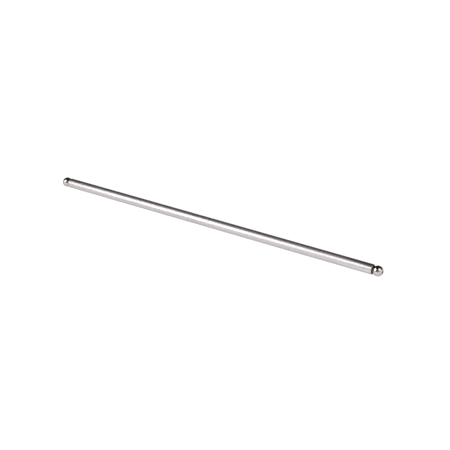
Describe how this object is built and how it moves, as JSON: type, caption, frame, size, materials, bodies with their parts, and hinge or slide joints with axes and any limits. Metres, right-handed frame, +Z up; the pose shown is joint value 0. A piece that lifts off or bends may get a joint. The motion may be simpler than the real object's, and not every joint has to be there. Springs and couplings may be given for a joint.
{
  "type": "engine pushrod",
  "caption": "Slim steel engine pushrod: a straight satin tube with a polished, oil-drilled ball pressed into each end, carrying lift from the valve lifter to the rocker arm.",
  "frame": {"origin": "middle of the rod, on the axis of the tube", "axes": "+X along the rod towards the rocker ball end, +Z up with the rod lying level"},
  "size_m": [0.292, 0.008, 0.008],
  "materials": {
    "tube_steel": "satin",
    "ball_steel": "polished"
  },
  "bodies": {
    "root": {"tube": "tube_steel", "rocker_ball_end": "ball_steel", "lifter_ball_end": "ball_steel"}
  },
  "joints": []
}
